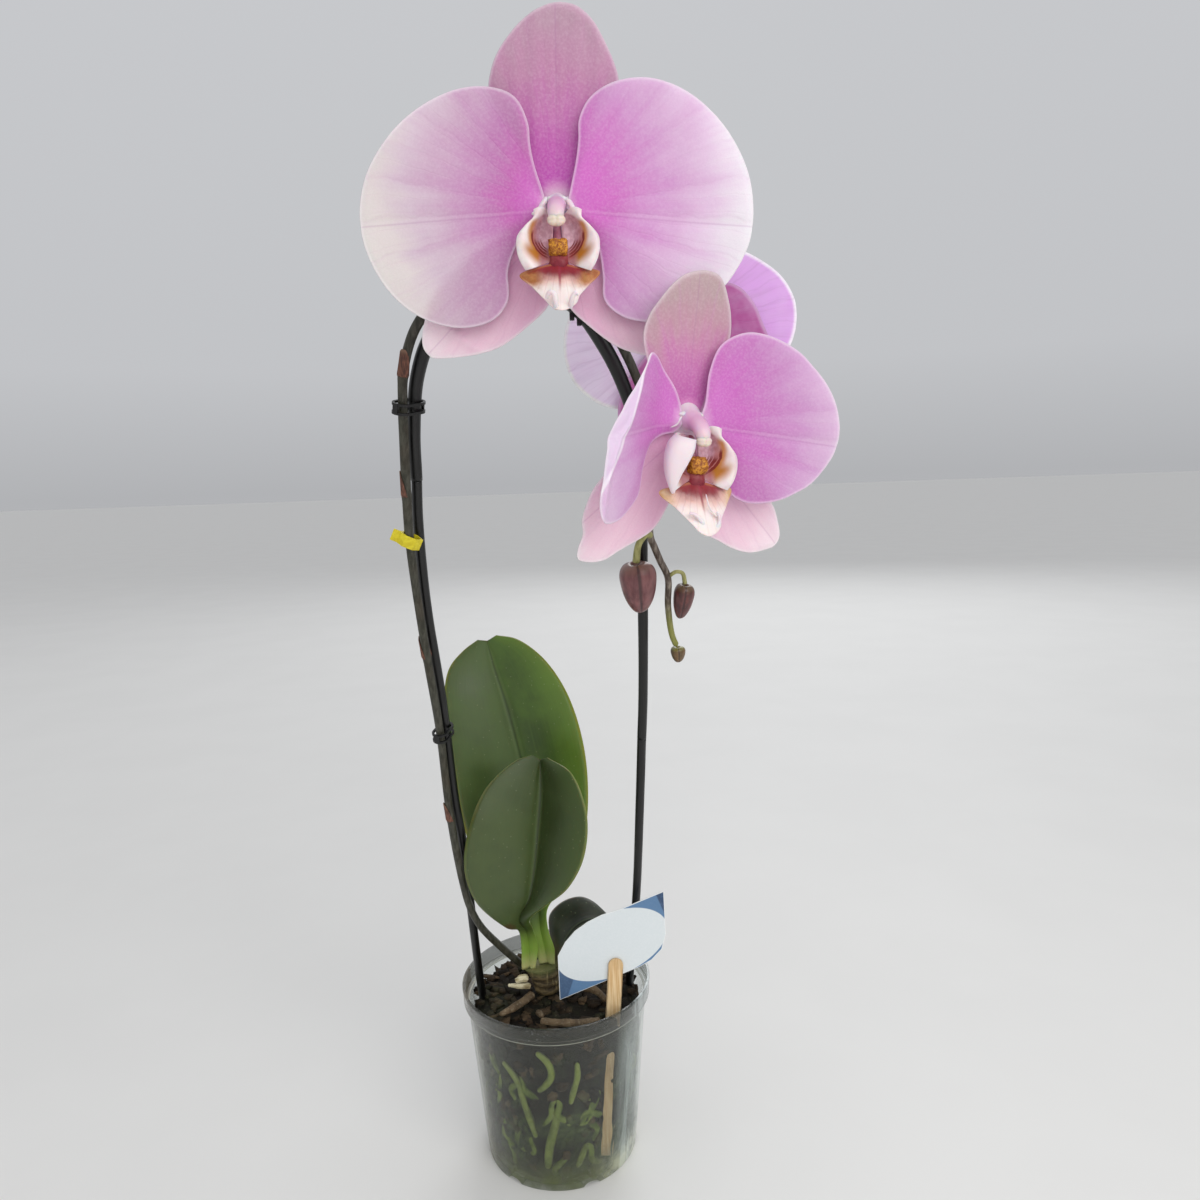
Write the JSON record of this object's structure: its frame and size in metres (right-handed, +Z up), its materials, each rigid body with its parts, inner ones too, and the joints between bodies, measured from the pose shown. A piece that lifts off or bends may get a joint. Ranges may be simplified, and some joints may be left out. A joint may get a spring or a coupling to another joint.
{
  "type": "potted moth orchid",
  "caption": "Moth orchid in a clear nursery pot, its pink flowering stem clipped to a tall black hoop, with strap leaves, buds and a stick label.",
  "frame": {"origin": "centre of the flat underside of the pot", "axes": "+Z up; the flowers face -Y; +X is to the right of someone who looks at the flowers"},
  "size_m": [0.2069, 0.2944, 0.598],
  "materials": {
    "clear_plastic": "clear, slightly cloudy",
    "mix": "rough damp bark",
    "crown": "dry and fibrous",
    "cream_stub": "matte",
    "leaf_green": "waxy satin",
    "leaf_dark": "waxy satin",
    "root_brown": "matte",
    "root_green": "damp satin",
    "stem_olive": "satin",
    "bract_brown": "papery",
    "hoop_black": "satin moulded",
    "clip_black": "satin",
    "tape_yellow": "satin",
    "label_card": "smooth coated card",
    "stick_wood": "plain sawn",
    "bud_maroon": "satin",
    "petal_pink": "soft, faintly veined",
    "lip_cream": "waxy, crimson and orange throat",
    "column_pale": "waxy"
  },
  "bodies": {
    "root": {"nursery_pot": "clear_plastic", "support_arch": "hoop_black", "hoop_rod_left": "hoop_black", "hoop_rod_right": "hoop_black", "label_stick": "stick_wood", "label_card": "label_card", "wall_root_1": "root_green", "wall_root_2": "root_green", "wall_root_3": "root_green", "wall_root_4": "root_green", "wall_root_5": "root_green", "bark_mix": "mix", "stem_base": "crown", "old_leaf_base_upper": "cream_stub", "old_leaf_base_lower": "cream_stub", "leaf_back": "leaf_green", "leaf_front": "leaf_green", "leaf_old": "leaf_dark", "surface_root_1": "root_brown", "surface_root_2": "root_brown", "surface_root_3": "root_brown", "surface_root_4": "root_brown", "flower_stem": "stem_olive", "bract_1": "bract_brown", "bract_2": "bract_brown", "bract_3": "bract_brown", "bract_4": "bract_brown", "stem_clip_upper": "clip_black", "stem_clip_lower": "clip_black", "grower_tag": "tape_yellow", "bud_stalk_1": "stem_olive", "bud_1": "bud_maroon", "bud_stalk_2": "stem_olive", "bud_2": "bud_maroon", "bud_3": "bud_maroon", "flower_1_dorsal_sepal": "petal_pink", "flower_1_left_lateral_sepal": "petal_pink", "flower_1_right_lateral_sepal": "petal_pink", "flower_1_left_petal": "petal_pink", "flower_1_right_petal": "petal_pink", "flower_1_column": "column_pale", "flower_1_lip": "lip_cream", "flower_1_stalk": "stem_olive", "flower_2_dorsal_sepal": "petal_pink", "flower_2_left_lateral_sepal": "petal_pink", "flower_2_right_lateral_sepal": "petal_pink", "flower_2_left_petal": "petal_pink", "flower_2_right_petal": "petal_pink", "flower_2_column": "column_pale", "flower_2_lip": "lip_cream", "flower_2_stalk": "stem_olive", "flower_3_dorsal_sepal": "petal_pink", "flower_3_left_lateral_sepal": "petal_pink", "flower_3_right_lateral_sepal": "petal_pink", "flower_3_left_petal": "petal_pink", "flower_3_right_petal": "petal_pink", "flower_3_column": "column_pale", "flower_3_lip": "lip_cream", "flower_3_stalk": "stem_olive"}
  },
  "joints": []
}
